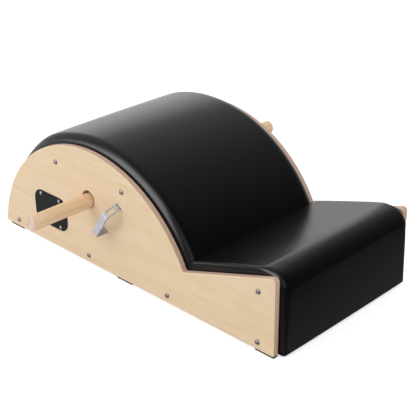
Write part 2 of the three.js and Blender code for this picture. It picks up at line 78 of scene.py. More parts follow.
# Clearances
rest_gap = 0.3 * mm
pad_gap = 0.9 * mm
overrun = 2 * mm  # how far a cutter runs past the face that it opens
pad_half = half_inner - rest_gap

# Decks under the pads
deck_thickness = 9 * mm
deck_radius = arc_radius - 18 * mm
deck_inner_radius = deck_radius - deck_thickness
seat_deck_depth = 8.9 * mm
seat_deck_under = -seat_deck_depth - deck_thickness
groove_depth = 5 * mm
deck_nose_round = 6 * mm
barrel_deck_overlap = 24 * mm
deck_lift = 3 * mm
front_overhang = 15 * mm
front_board_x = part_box("front_board")[0].x

# Pads
pad_radius = arc_radius + 24 * mm
barrel_crown = 1.4 * mm
barrel_shoulder = 24 * mm
far_shoulder_left, far_shoulder_top = 20 * mm, 31 * mm  # the far end is rounder over the top
barrel_bulge = 2.4 * mm  # how much fuller the pad is between its top and its heel
bulge_angle, bulge_spread = math.radians(-28), math.radians(12)
heel_thinning = 4.4 * mm
thinning_start, thinning_end = math.radians(22), math.radians(52)
seat_rise_rear = 23.4 * mm
seat_rise_crest = 17.4 * mm
seat_crest_x = panel_end - 37.7 * mm  # where the top bows over toward the nose
seat_crest_round = 100 * mm
seat_nose_lift = math.radians(2.3)  # how steeply the top still climbs where the nose begins
seat_nose_round = 40 * mm
seat_fullness = 2 * mm  # how far the front stands past the deck's overhang
seat_lean = 2 * mm  # how far the front leans out toward the floor
seat_stations = -75 * mm, -5 * mm, 60 * mm, 170 * mm  # along the face, from the nose's corner
seat_near_shoulders = 8 * mm, 17 * mm, 17 * mm, 7 * mm  # tight along the top and at the hem
seat_far_shoulders = 11 * mm, 18 * mm, 12 * mm, 6 * mm
seat_crowns = 1 * mm, 4.5 * mm, 1 * mm, 1 * mm  # how far the ends lie lower than the middle
tuck_share = 0.9
seat_tuck_run = 45 * mm  # how far from the crease the seat pad's ends lean against the barrel pad
side_wall = 3 * mm
pad_corner_round = 5 * mm  # lower corners of the pads, where the cover turns under
held_round = 3  # how many points of such a round are held with the wall before it
seat_hem = 2.5 * mm  # how far the seat cover reaches below the front board
crease_round = 2.5 * mm
cover_slack = 1.6 * mm  # the covers start this much inside their full shape, and swell
foam_inset = 4 * mm
least_height = 0.001 * mm
weld_distance = 0.02 * mm

# How the covers swell, as cloth
cloth_settings = {"quality": 6, "mass": 0.4, "tension_stiffness": 300, "compression_stiffness": 300,
                  "shear_stiffness": 150, "bending_stiffness": 20, "use_pressure": True,
                  "vertex_group_mass": "held"}
cloth_frames = 20
barrel_pressure = 4.0  # its curve holds against more than the flat seat does
seat_pressure = 1.4
swell_cap = 3.2 * mm
evening_rounds = 160
held_still = 1e-4 * mm  # a point that moves less than this counts as held
least_length = 1e-6 * mm

# Strap brackets: a flat bar bent into a loop, with a slot in its sloping leg
bar_width = 17 * mm
bar_thickness = 3 * mm
bar_bend = 5 * mm
bar_ease = 0.6 * mm
bracket_foot = Vector((arc_centre.x + 57.5 * mm, panel_floor + 110 * mm))
bracket_lean = math.radians(56.4)
bracket_top = 34 * mm - bar_thickness / 2
bracket_run = 71.5 * mm
bracket_span = 90.4 * mm
bracket_landing = 4 * mm
landing_bend = 4 * mm
tang_length = 9 * mm
slot_length = 22 * mm
slot_width = 11 * mm
slot_end = 7 * mm
slot_corner = 1.6 * mm
lean = Vector((math.cos(bracket_lean), math.sin(bracket_lean)))

# Screws
panel_screw = {"Head Radius": 6 * mm, "Rim Height": 0.7 * mm, "Dome Height": 2.7 * mm,
               "Socket Radius": 3 * mm, "Socket Depth": 1.9 * mm,
               "Shank Radius": 3 * mm, "Shank Length": 46 * mm, "Seed": 3}
plate_screw = {"Head Radius": 5.2 * mm, "Rim Height": 0.5 * mm, "Dome Height": 2.1 * mm,
               "Socket Radius": 2.5 * mm, "Socket Depth": 1.3 * mm,
               "Shank Radius": 1.9 * mm, "Shank Length": 12 * mm, "Seed": 8}
bore_clearance = 0.3 * mm
plate_bore_end = 3 * mm  # wood left behind the plate's screws
plate_corner = 27 * mm

# Other edges and fineness
pole_chamfer = 2 * mm
end_grain_depth = 1.4 * mm  # how far end grain shows round the edge
pole_near_reach, pole_far_reach = 4 * mm, 18 * mm  # how far its ends stand past the frame's pole
rail_ease = 1.8 * mm
board_ease = 0.5 * mm
foot_ease = 0.9 * mm
plate_ease = 0.5 * mm
arc_count = 180
corner_count = 8
sharp_angle = math.radians(32)
flat_angle = math.radians(0.5)
face_weight = 100  # the largest face decides
node_weld_distance = 0.01 * mm
eased_length = 4  # an edge is eased where it is this many times as long as its ease

# How far wood is drawn out along its fibres, in widths of its figure or of a fibre
sway_width, sway_length, figure_length, fibre_length = 6, 14, 34, 24

# Light. Surfaces mirror a room that is bright at the left and dark at the right, with a tall window
# on the near left. A pair is where a change starts and ends, by direction or along the floor's X, or
# the levels there.
fill_level = 0.85
floor_lift = 0.62  # what takes the floor's paint to white for the camera
floor_half = 2.4
mirrored_floor_run, mirrored_floor_levels = (-0.6, 0.75), (0.9, 0.03)
room_run, room_levels = (-0.8, 0.66), (0.73, 0.04)
horizon = 0.02, -0.04
floor_share = 1.35  # the floor beyond its edge, beside the wall above it
glow_left, glow_near, glow_level = (0.35, 0.6), (-0.3, -0.6), 0.8  # a paler patch on the near right
window_radiance = 5.4
window_lean = 0.5
window_left, window_right, window_back = (-0.96, -0.62), (0.04, -0.10), (0.05, -0.25)
window_sill, window_head = (-0.08, 0.04), (0.95, 0.45)
lamp_target = Vector((0, 0, 0.15))

# The camera stands where the photograph's did
camera_place = (1.55659, -1.53352, 1.17933)
camera_azimuth = math.radians(44.423)
camera_elevation = math.radians(26.158)
camera_roll = math.radians(-0.442)
camera_lens = 88.49
camera_sensor = 36
camera_reach = 60


# Points of an X-Z outline
def on_arc(radius, angle):
    return arc_centre + Vector((math.sin(angle), math.cos(angle))) * radius


def arc_angle(point):
    return math.atan2(point.x - arc_centre.x, point.y - arc_centre.y)


def heel_angle(radius, z):
    """Where a circle about the arc's centre comes down to a height at the barrel end."""
    return -math.acos((z - arc_centre.y) / radius)


def arc_points(radius, start, end, count=arc_count):
    return [on_arc(radius, a) for a in np.linspace(start, end, count + 1)]


notch = on_arc(arc_radius, notch_angle)


def on_seat(x, rise):
    """The point of the seat line, or of a line at some rise above it, that has a given X."""
    raised = notch + square * rise
    return raised + along * ((x - raised.x) / along.x)


def seat_meets_arc(radius, rise):
    """Where a line at some rise above the seat line runs into a circle about the arc's centre."""
    offset = (notch + square * rise - arc_centre).dot(square)
    return arc_centre + square * offset + along * math.sqrt(radius**2 - offset**2)


def rounded(before, corner, after, radius, count=corner_count):
    """Points of the round that replaces a corner of an outline."""
    a = (before - corner).normalized()
    b = (after - corner).normalized()
    half = a.angle(b) / 2
    centre = (a + b).normalized() * (radius / math.sin(half))
    start = a * (radius / math.tan(half)) - centre
    end = b * (radius / math.tan(half)) - centre
    turn = math.atan2(start.cross(end), start.dot(end))
    return [corner + centre + Matrix.Rotation(turn * t, 2) @ start for t in np.linspace(0, 1, count + 1)]


def rounded_rectangle(low, high, radius, count):
    corners = [low, Vector((high.x, low.y)), high, Vector((low.x, high.y))]
    return [p for i in range(4)
            for p in rounded(corners[i - 1], corners[i], corners[(i + 1) % 4], radius, count)]


def between(a, b, count):
    """Points from a up to, and without, b."""
    return [a.lerp(b, i / count) for i in range(count)]


def panel_outline():
    heel = on_arc(arc_radius, heel_angle(arc_radius, panel_floor))
    toe = Vector((panel_end, panel_floor))
    nose = on_seat(panel_end, 0)
    arc = arc_points(arc_radius, notch_angle, arc_angle(heel))[2:-2]  # its ends give way to the rounds
    return [
        *rounded(arc[-1], heel, toe, heel_round),
        *rounded(heel, toe, nose, toe_round),
        *rounded(toe, nose, notch, front_round),
        *rounded(nose, notch, arc[0], notch_round),
        *arc,
    ]


def bent_deck_outline(grow):
    outer = deck_radius + grow
    inner = deck_inner_radius - grow
    low = panel_floor + deck_lift - grow
    last = seat_meets_arc(deck_radius, seat_deck_under)
    end = arc_angle(last) + (barrel_deck_overlap + grow) / deck_radius
    outside = arc_points(outer, end, heel_angle(outer, low))
    return [*arc_points(inner, heel_angle(inner, low), end), *outside]


def seat_deck_outline(grow):
    rear = deck_radius + rest_gap - grow
    top = -seat_deck_depth + grow
    under = seat_deck_under - grow
    front = front_board_x + deck_thickness + grow
    start, end = seat_meets_arc(rear, under), seat_meets_arc(rear, top)
    nose = rounded(on_seat(front, under), on_seat(front, top), end, deck_nose_round)
    return [start, on_seat(front, under), *nose, end]


def front_board_outline(grow):
    back = front_board_x - grow
    front = front_board_x + deck_thickness + grow
    low = panel_floor + deck_lift - grow
    top = seat_deck_under - rest_gap + grow
    return [Vector((back, low)), Vector((front, low)), on_seat(front, top), on_seat(back, top)]


# Meshes
def prism(outline, low_y, high_y, ease=0, segments=4):
    """A closed flat piece with an X-Z outline, its edges rounded over along both faces."""
    made = bmesh.new()
    ends = [[made.verts.new((x, y, z)) for x, z in outline] for y in (low_y, high_y)]
    caps = [made.faces.new(end) for end in ends]
    for i in range(len(outline)):
        made.faces.new((ends[0][i - 1], ends[0][i], ends[1][i], ends[1][i - 1]))
    bmesh.ops.recalc_face_normals(made, faces=made.faces)
    if ease:
        edges = [e for cap in caps for e in cap.edges]
        bmesh.ops.bevel(made, geom=edges, offset=ease, segments=segments, profile=0.5, affect="EDGES")
    return made


def turned(profile, x, z, sides=72):
    """A closed turned piece about an axis along Y, from (radius, y) points that start and end on it."""
    made = bmesh.new()
    rings = []
    for radius, y in profile:
        angles = [2 * math.pi * i / sides for i in range(sides if radius else 1)]
        rings.append([made.verts.new((x + radius * math.sin(a), y, z + radius * math.cos(a)))
                      for a in angles])
    for low, high in zip(rings, rings[1:]):
        for i in range(sides):
            corners = [low[(i - 1) % len(low)], low[i % len(low)],
                       high[i % len(high)], high[(i - 1) % len(high)]]
            made.faces.new(list(dict.fromkeys(corners)))
    bmesh.ops.recalc_face_normals(made, faces=made.faces)
    return made


def rod(radius, low, high, x, z, sides):
    """A plain round bar along Y, to cut a bore with."""
    return turned([(0, low), (radius, low), (radius, high), (0, high)], x, z, sides)


def add_to(whole, part):
    """Adds one bmesh to another."""
    mesh = bpy.data.meshes.new("part")
    part.to_mesh(mesh)
    part.free()
    whole.from_mesh(mesh)
    bpy.data.meshes.remove(mesh)


def linked(name, data):
    """An object in the scene."""
    made = bpy.data.objects.new(name, data)
    bpy.context.scene.collection.objects.link(made)
    return made


def object_of(name, made, material=None):
    """An object at the origin from a bmesh, smooth but for its sharp edges."""
    mesh = bpy.data.meshes.new(name)
    made.to_mesh(mesh)
    made.free()
    mesh.shade_smooth()
    mesh.set_sharp_from_angle(angle=sharp_angle)
    if material:
        mesh.materials.append(material)
    return linked(name, mesh)


def settle(piece):
    """Makes what a piece's modifiers do part of its mesh."""
    bpy.context.view_layer.update()
    evaluated = piece.evaluated_get(bpy.context.evaluated_depsgraph_get())
    mesh = bpy.data.meshes.new_from_object(evaluated)
    piece.modifiers.clear()
    piece.data = mesh


def cut(piece, tools):
    for tool in tools:
        boolean = piece.modifiers.new("cut", "BOOLEAN")
        boolean.operation = "DIFFERENCE"
        boolean.solver = "EXACT"
        boolean.object = tool
    settle(piece)
    for tool in tools:
        bpy.data.objects.remove(tool)
    piece.data.set_sharp_from_angle(angle=sharp_angle)


def even_shading(piece):
    """Lets the large flat faces set the normals that they share with the rounds beside them."""
    weighted = piece.modifiers.new("even_shading", "WEIGHTED_NORMAL")
    weighted.keep_sharp = True
    weighted.weight = face_weight
    settle(piece)


def place(piece, body, slot, *nodes):
    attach(piece, body)
    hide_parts(*nodes)


def middle_of(node):
    low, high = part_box(node)
    return (low.x + high.x) / 2, (low.z + high.z) / 2


def eased_copy(node, name, ease, material, slot):
    """A piece with a node's own shape and its long edges eased."""
    made = bmesh.new()
    made.from_mesh(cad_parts[node].data)
    bmesh.ops.remove_doubles(made, verts=made.verts, dist=node_weld_distance)
    bmesh.ops.dissolve_limit(made, angle_limit=flat_angle, verts=made.verts, edges=made.edges)
    edges = [e for e in made.edges
             if e.calc_face_angle(0) > sharp_angle and e.calc_length() > eased_length * ease]
    bmesh.ops.bevel(made, geom=edges, offset=ease, segments=3, profile=0.5, affect="EDGES")
    piece = object_of(name, made, material)
    even_shading(piece)
    place(piece, "frame", slot, node)


# Node trees
def srgb(text):
    """A linear colour from an sRGB hex value."""
    parts = [int(text[i:i + 2], 16) / 255 for i in (1, 3, 5)]
    return (*[c / 12.92 if c <= 0.04045 else ((c + 0.055) / 1.055) ** 2.4 for c in parts], 1)


def give(tree, socket, value):
    """Gives an input a value, or a link from an output."""
    if isinstance(value, bpy.types.NodeSocket):
        tree.links.new(value, socket)
    else:
        socket.default_value = value


def add_node(tree, kind, inputs=None, **settings):
    """Adds a node with its settings, and fills its inputs."""
    made = tree.nodes.new(kind)
    for key, value in settings.items():
        setattr(made, key, value)
    for key, value in (inputs or {}).items():
        give(tree, made.inputs[key], value)
    return made


def maths(tree, operation, *terms):
    return add_node(tree, "ShaderNodeMath", dict(enumerate(terms)), operation=operation).outputs[0]


def vector_maths(tree, operation, *terms, output=0):
    made = add_node(tree, "ShaderNodeVectorMath", dict(enumerate(terms)), operation=operation)
    return made.outputs[output]


def part_of(tree, vector, axis):
    return add_node(tree, "ShaderNodeSeparateXYZ", {0: vector}).outputs[axis]


def remapped(tree, value, run, levels=(0.0, 1.0), kind="LINEAR"):
    """A level that goes from one to the other while a value goes through a run."""
    return add_node(tree, "ShaderNodeMapRange", {
        "Value": value, "From Min": run[0], "From Max": run[1], "To Min": levels[0],
        "To Max": levels[1]}, interpolation_type=kind).outputs[0]


def noise(tree, vector, size, detail, roughness=0.5, output=0):
    """A noise whose grains are about this size."""
    return add_node(tree, "ShaderNodeTexNoise", {
        "Vector": vector, "Scale": 1 / size, "Detail": detail, "Roughness": roughness}).outputs[output]


def stretched(tree, coordinates, fibre_axis, width_mm, length_mm):
    """Coordinates in which a pattern of unit size is this wide, and this long along the fibres."""
    scale = [1 / (width_mm * mm)] * 3
    scale[fibre_axis] = 1 / (length_mm * mm)
    return add_node(tree, "ShaderNodeMapping", {"Vector": coordinates, "Scale": scale}).outputs[0]


def ramp(tree, value, stops):
    """A colour that runs through (place, sRGB hex) stops as a value goes from 0 to 1."""
    made = add_node(tree, "ShaderNodeValToRGB", {"Fac": value})
    elements = made.color_ramp.elements
    for at, colour in stops[1:-1]:
        elements.new(at).color = srgb(colour)
    elements[0].position, elements[0].color = stops[0][0], srgb(stops[0][1])
    elements[-1].position, elements[-1].color = stops[-1][0], srgb(stops[-1][1])
    return made.outputs[0]


def blended(tree, share, a, b, kind="MIX"):
    """Colour b over colour a, by a share. A Mix node takes its colours at inputs 6 and 7."""
    return add_node(tree, "ShaderNodeMix", {0: share, 6: a, 7: b}, data_type="RGBA",
                    blend_type=kind).outputs[2]


def streaked(tree, colour, pattern, dark, pale="#fff4dd", share=0.3):
    """A colour darkened by a share where a pattern is dark."""
    return blended(tree, share, colour, ramp(tree, pattern, [(0.3, dark), (0.7, pale)]), "MULTIPLY")


def cleared(owner):
    """The empty node tree of a material or a world."""
    owner.use_nodes = True
    owner.node_tree.nodes.clear()
    return owner.node_tree


def new_material(name):
    """A material with only its shader and output, and the coordinates that its pattern reads."""
    material = bpy.data.materials.new(name)
    tree = cleared(material)
    shader = add_node(tree, "ShaderNodeBsdfPrincipled")
    add_node(tree, "ShaderNodeOutputMaterial", {"Surface": shader.outputs[0]})
    coordinates = add_node(tree, "ShaderNodeTexCoord").outputs["Object"]
    return material, tree, shader, coordinates


def finish(tree, shader, colour, height, roughness, relief, **values):
    """Fills a shader: its colour and roughness, a bump from a height, and plain values."""
    bump = add_node(tree, "ShaderNodeBump", {"Height": height, "Strength": 1.0, "Distance": relief})
    inputs = {"Base Color": colour, "Roughness": roughness, "Normal": bump.outputs[0], **values}
    for key, value in inputs.items():
        give(tree, shader.inputs[key.replace("_", " ")], value)


def grained(name, size, detail, colour, roughness, relief, **values):
    """A material whose look follows one noise. Its colour is one hex value or the stops of a ramp,
    and its roughness one number or the ends of a range."""
    material, tree, shader, coordinates = new_material(name)
    grain = noise(tree, coordinates, size, detail)
    colour = srgb(colour) if isinstance(colour, str) else ramp(tree, grain, colour)
    if isinstance(roughness, tuple):
        roughness = remapped(tree, grain, (0.0, 1.0), roughness)
    finish(tree, shader, colour, grain, roughness, relief, **values)
    return material


def wood_grain(tree, coordinates, fibre_axis, figure_mm, fibre_mm, sway=2.2):
    """Two patterns of sawn wood: the broad growth figure, which sways, and the fine fibre. Both are
    drawn out along the axis that the fibres run on."""
    broad = stretched(tree, coordinates, fibre_axis, figure_mm * sway_width, figure_mm * sway_length)
    long = stretched(tree, coordinates, fibre_axis, figure_mm, figure_mm * figure_length)
    slow = noise(tree, broad, 1, detail=1.0, output="Color")
    swayed = vector_maths(tree, "MULTIPLY_ADD", slow, (sway, sway, sway), long)
    fine = stretched(tree, coordinates, fibre_axis, fibre_mm, fibre_mm * fibre_length)
    figure = noise(tree, swayed, 1, detail=2.0, roughness=0.45)
    return figure, noise(tree, fine, 1, detail=3.0, roughness=0.6)


def plies(tree, depth, thickness, skin, along, across, face, glue):
    """The colour of plywood at some depth: face veneers, and five inner plies whose fibres run along
    and across in turn, with a thin dark glue line between plies. Also gives 1 below the skin."""
    count, veneer, glue_share = 5, 0.12, 0.25 * mm / thickness
    edges = [0, *[veneer + (1 - 2 * veneer) / count * i for i in range(count + 1)], 1]
    colours = [face, *[(across, along)[i % 2] for i in range(count)], face]
    stops = []
    for i, colour in enumerate(colours):
        stops += [(edges[i] + glue_share * (i > 0), colour), (edges[i + 1] - glue_share, colour)]
        if i < count + 1:
            stops.append((edges[i + 1], glue))
    from_face = maths(tree, "PINGPONG", depth, thickness / 2)
    inside = maths(tree, "GREATER_THAN", from_face, skin * thickness)
    return ramp(tree, maths(tree, "DIVIDE", depth, thickness), stops), inside


# Plywood with a clear satin lacquer. The eye gets a pale, even veneer with a faint swaying figure
# along the panel, and brownish pink plies where the edge cuts through the layers.
def lacquered_ply():
    material, tree, shader, coordinates = new_material("lacquered_plywood")
    figure, fibre = wood_grain(tree, coordinates, fibre_axis=0, figure_mm=11, fibre_mm=1.5)
    veneer = ramp(tree, figure, [(0.32, "#e5cdaa"), (0.5, "#e9d1b0"), (0.68, "#ecd5b5")])
    veneer = streaked(tree, veneer, fibre, "#b9986f", share=0.12)
    off_middle = maths(tree, "ABSOLUTE", part_of(tree, coordinates, "Y"))
    depth = maths(tree, "SUBTRACT", off_middle, half_inner)
    layers, inside = plies(tree, depth, panel_thickness, skin=0.09, along="#e8cbb5", across="#d0af9d",
                           face="#e6cfae", glue="#ae8d7b")
    edge_fibre = stretched(tree, coordinates, fibre_axis=1, width_mm=1.6, length_mm=9)
    layers = streaked(tree, layers, noise(tree, edge_fibre, 1, detail=3.0), "#b39580", "#fff6ec")
    colour = blended(tree, inside, veneer, layers)
    finish(tree, shader, colour, fibre, roughness=0.42, relief=0.03 * mm, Specular_IOR_Level=0.4)
    return material


# Unlacquered plywood of the decks: duller and browner, with its plies set square to one direction,
# or round the barrel's axis.
def bare_ply(name, turn, origin, radial=False):
    material, tree, shader, coordinates = new_material(name)
    figure, fibre = wood_grain(tree, coordinates, fibre_axis=1, figure_mm=16, fibre_mm=1.5)
    face = ramp(tree, figure, [(0.3, "#bf9c72"), (0.5, "#cdac82"), (0.7, "#d8bb93")])
    face = streaked(tree, face, fibre, "#a98a66")
    placed = vector_maths(tree, "SUBTRACT", coordinates, origin)
    if radial:
        flat = vector_maths(tree, "MULTIPLY", placed, (1, 0, 1))
        length = vector_maths(tree, "LENGTH", flat, output="Value")
        depth = maths(tree, "SUBTRACT", length, deck_inner_radius)
    else:
        depth = vector_maths(tree, "DOT_PRODUCT", placed, turn, output="Value")
    layers, inside = plies(tree, depth, deck_thickness, skin=0.1, along="#b99873", across="#94745a",
                           face="#cdac82", glue="#6d5443")
    colour = blended(tree, inside, face, layers)
    finish(tree, shader, colour, fibre, roughness=0.72, relief=0.08 * mm, Specular_IOR_Level=0.3)
    return material


# Planed softwood of the cross rails: warm yellow, with darker growth lines along the rail.
def planed_pine():
    material, tree, shader, coordinates = new_material("planed_pine")
    figure, fibre = wood_grain(tree, coordinates, fibre_axis=1, figure_mm=5, fibre_mm=1.4, sway=1.2)
    colour = ramp(tree, figure, [(0.3, "#b98f56"), (0.42, "#cfa870"), (0.6, "#dcbc88"), (0.75, "#e3c899")])
    colour = streaked(tree, colour, fibre, "#a3804f", share=0.25)
    finish(tree, shader, colour, fibre, roughness=0.68, relief=0.08 * mm, Specular_IOR_Level=0.35)
    return material


# Turned beech dowel, oiled: peach brown along its length with short dark flecks, and paler, pinkish
# end grain with faint rings about the tree's heart, which lies off the dowel.
def beech_dowel():
    material, tree, shader, coordinates = new_material("beech_dowel")
    figure, fibre = wood_grain(tree, coordinates, fibre_axis=1, figure_mm=7, fibre_mm=1.5, sway=0.9)
    colour = ramp(tree, figure, [(0.3, "#e4bf97"), (0.5, "#ebcaa4"), (0.7, "#f0d2af")])
    drawn_out = stretched(tree, coordinates, fibre_axis=1, width_mm=1.3, length_mm=6)
    flecks = add_node(tree, "ShaderNodeTexVoronoi", {"Vector": drawn_out, "Scale": 1.0})
    fleck = ramp(tree, flecks.outputs["Distance"], [(0.04, "#cda47d"), (0.22, "#ffffff")])
    fleck_share = 0.35
    colour = blended(tree, fleck_share, colour, fleck, "MULTIPLY")
    heart = (pole_middle.x - 24 * mm, 0, pole_middle.z + 9 * mm)
    ring_pitch = 19.2 * mm
    # A Wave node at scale 1 draws 20 rings in 2 pi metres
    rings = add_node(tree, "ShaderNodeTexWave", {
        "Vector": vector_maths(tree, "SUBTRACT", coordinates, heart),
        "Scale": 2 * math.pi / (20 * ring_pitch), "Distortion": 1.2, "Detail": 1.0},
        wave_type="RINGS", rings_direction="Y")
    ends = ramp(tree, rings.outputs["Fac"], [(0.2, "#d6bba8"), (0.8, "#e2ccbd")])
    middle = (pole_far_reach - pole_near_reach) / 2
    half = pole_high.y + (pole_far_reach + pole_near_reach) / 2
    off_middle = maths(tree, "ABSOLUTE", maths(tree, "SUBTRACT", part_of(tree, coordinates, "Y"), middle))
    at_end = maths(tree, "GREATER_THAN", off_middle, half - end_grain_depth)
    colour = blended(tree, at_end, colour, ends)
    finish(tree, shader, colour, fibre, roughness=0.46, relief=0.04 * mm, Specular_IOR_Level=0.4)
    return material


# Polyurethane leather cloth, black, embossed with a fine grain. It is dark to look at straight on
# and goes a soft grey where it is seen at a slant. The grain is drawn at 2 mm, about twice the real
# size, so that it shows at all.
def leather_cloth():
    material, tree, shader, coordinates = new_material("black_leather_cloth")
    pebbles = add_node(tree, "ShaderNodeTexVoronoi", {
        "Vector": coordinates, "Scale": 1 / (2 * mm), "Smoothness": 0.6},
        feature="SMOOTH_F1").outputs["Distance"]
    creases = noise(tree, coordinates, 5 * mm, detail=3.0)
    height = maths(tree, "MULTIPLY_ADD", creases, 0.6, pebbles)
    gloss = remapped(tree, noise(tree, coordinates, 70 * mm, detail=2.0), (0.3, 0.7), (0.2, 0.23))
    colour = ramp(tree, pebbles, [(0.1, "#080808"), (0.7, "#0c0c0c")])
    finish(tree, shader, colour, height, gloss, relief=0.03 * mm, Specular_IOR_Level=0.35)
    return material


# Open-cell foam under the covers, mid grey and quite matt.
def cut_foam():
    material, tree, shader, coordinates = new_material("cut_foam")
    cells = add_node(tree, "ShaderNodeTexVoronoi", {
        "Vector": coordinates, "Scale": 1 / (1.8 * mm)}).outputs["Distance"]
    colour = ramp(tree, cells, [(0.1, "#6f6f69"), (0.7, "#9a9a92")])
    finish(tree, shader, colour, cells, roughness=0.95, relief=0.5 * mm, Specular_IOR_Level=0.2)
    return material


ply = lacquered_ply()
arc_axis = (arc_centre.x, 0, arc_centre.y)
bent_ply = bare_ply("bent_deck_plywood", (0, 0, 1), arc_axis, radial=True)
deck_base = notch + square * seat_deck_under
seat_ply = bare_ply("seat_deck_plywood", (square.x, 0, square.y), (deck_base.x, 0, deck_base.y))
board_ply = bare_ply("front_board_plywood", (1, 0, 0), (front_board_x, 0, 0))
pine = planed_pine()
dowel = beech_dowel()
vinyl = leather_cloth()
foam = cut_foam()

# Zinc-plated steel of the button-head screws: a rather dull grey, with a slight haze.
steel = grained("zinc_plated_steel", size=2 * mm, detail=2.0, colour="#8e8c8a",
                roughness=(0.5, 0.62), relief=0.02 * mm, Metallic=1.0)

# Aluminium bar, blasted and anodised clear: an even lilac grey with a fine sparkle.
aluminium = grained("blasted_aluminium", size=1.2 * mm, detail=3.0,
                    colour=[(0.3, "#bdbec5"), (0.7, "#c9cad1")],
                    roughness=(0.74, 0.84), relief=0.03 * mm, Metallic=1.0)

# Steel plate, powder coated black: satin, with the faint orange peel of sprayed powder.
coated = grained("black_powder_coat", size=2.4 * mm, detail=2.0,
                 colour=[(0.3, "#101010"), (0.7, "#151516")],
                 roughness=0.5, relief=0.06 * mm, Specular_IOR_Level=0.12)

# Moulded rubber feet: nearly black, matt, with a slightly dusty bloom.
rubber = grained("moulded_rubber", size=9 * mm, detail=4.0,
                 colour=[(0.35, "#2a2928"), (0.7, "#3d3b3a")],
                 roughness=0.8, relief=0.1 * mm, Specular_IOR_Level=0.3)


# Decks: the bent one is drawn anew with a smooth curve, the flat ones keep the frame's shape
deck_half_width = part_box("barrel_deck")[1].y
bent_deck = object_of(
    "bent_barrel_deck",
    prism(bent_deck_outline(0), -deck_half_width, deck_half_width, board_ease, segments=2), bent_ply)
even_shading(bent_deck)
place(bent_deck, "frame", "bare_ply", "barrel_deck")
eased_copy("seat_deck", "seat_deck_board", board_ease, seat_ply, "bare_ply")
eased_copy("front_board", "upright_front_board", board_ease, board_ply, "bare_ply")
rail_nodes = [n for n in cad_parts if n.endswith("_rail")]
for node in rail_nodes:
    eased_copy(node, "planed_" + node, rail_ease, pine, "pine")
for node in [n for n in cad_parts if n.endswith("_foot")]:
    eased_copy(node, "rubber_" + node, foot_ease, rubber, "foot_rubber")


# Side panels, with the grooves, bores and slots that the other pieces sit in
plate_screw_nodes = [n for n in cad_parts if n.startswith("plate_screw")]
plate_screw_places = [middle_of(n) for n in plate_screw_nodes]
plate_bore = plate_screw["Shank Radius"] + bore_clearance


def bracket_point(s, h, n=0, side=-1):
    """A point in a bracket's own axes: s up its lean, h off the panel, n across the bar."""
    place_xz = bracket_foot + lean * s + Vector((lean.y, -lean.x)) * n
    return Vector((place_xz.x, side * (panel_face + h), place_xz.y))


def side_panel(side_name, side):
    def out(a, b):
        return (a, b) if side > 0 else (-b, -a)

    panel = object_of(side_name + "_panel_board",
                      prism(panel_outline(), *out(half_inner, panel_face), face_ease, segments=5), ply)
    inner, outer = half_inner - overrun, panel_face + overrun
    groove = out(inner, half_inner + groove_depth)
    tools = [object_of("groove", prism(outline(rest_gap), *groove))
             for outline in (bent_deck_outline, seat_deck_outline, front_board_outline)]
    wide = pole_hole_radius + hole_ease + overrun
    profile = [(0, inner), (wide, inner), (pole_hole_radius, half_inner + hole_ease),
               (pole_hole_radius, panel_face - hole_ease), (wide, outer), (0, outer)]
    if side < 0:
        profile = [(radius, -y) for radius, y in profile]
    tools.append(object_of("pole_hole", turned(profile, pole_middle.x, pole_hole_z)))
    bores = bmesh.new()
    rail_bore = panel_screw["Shank Radius"] + bore_clearance
    for node in rail_nodes:
        x, z = middle_of(side_name + "_" + node + "_screw")
        add_to(bores, rod(rail_bore, -outer, outer, x, z, sides=20))
    for s in (0, bracket_span):
        half_s, half_n = bar_thickness / 2 + rest_gap, bar_width / 2 + rest_gap
        outline = [bracket_point(s + a * half_s, 0, b * half_n).xz
                   for a, b in ((-1, 1), (1, 1), (1, -1), (-1, -1))]
        add_to(bores, prism(outline, *out(panel_face - tang_length - rest_gap, outer)))
    if side < 0:
        for x, z in plate_screw_places:
            add_to(bores, rod(plate_bore, -outer, -half_inner - plate_bore_end, x, z, sides=16))
    tools.append(object_of("bores", bores))
    cut(panel, tools)
    even_shading(panel)
    place(panel, "frame", "beech_ply", side_name + "_side_panel")


for side_name, side in panel_sides.items():
    side_panel(side_name, side)


# Strap brackets
def bracket_line():
    """Middle line of the bar in its s-h plane, with its bends drawn as arcs."""
    corners = [Vector(p) for p in ((0, -tang_length), (0, bracket_top), (bracket_run, bracket_top),
                                   (bracket_span, bracket_landing), (bracket_span, -tang_length))]
    line = [corners[0]]
    for i, radius in enumerate((bar_bend, bar_bend, landing_bend), 1):
        line += rounded(corners[i - 1], corners[i], corners[i + 1], radius, count=10)
    return [*line, corners[-1]]


def both_faces(line, thickness):
    """Both faces of a bar of some thickness along a line, as one outline."""
    faces = [[], []]
    for i, point in enumerate(line):
        run = line[min(i + 1, len(line) - 1)] - line[max(i - 1, 0)]
        normal = Vector((-run.y, run.x)).normalized() * (thickness / 2)
        faces[0].append(point - normal)
        faces[1].append(point + normal)
    return faces[0] + faces[1][::-1]


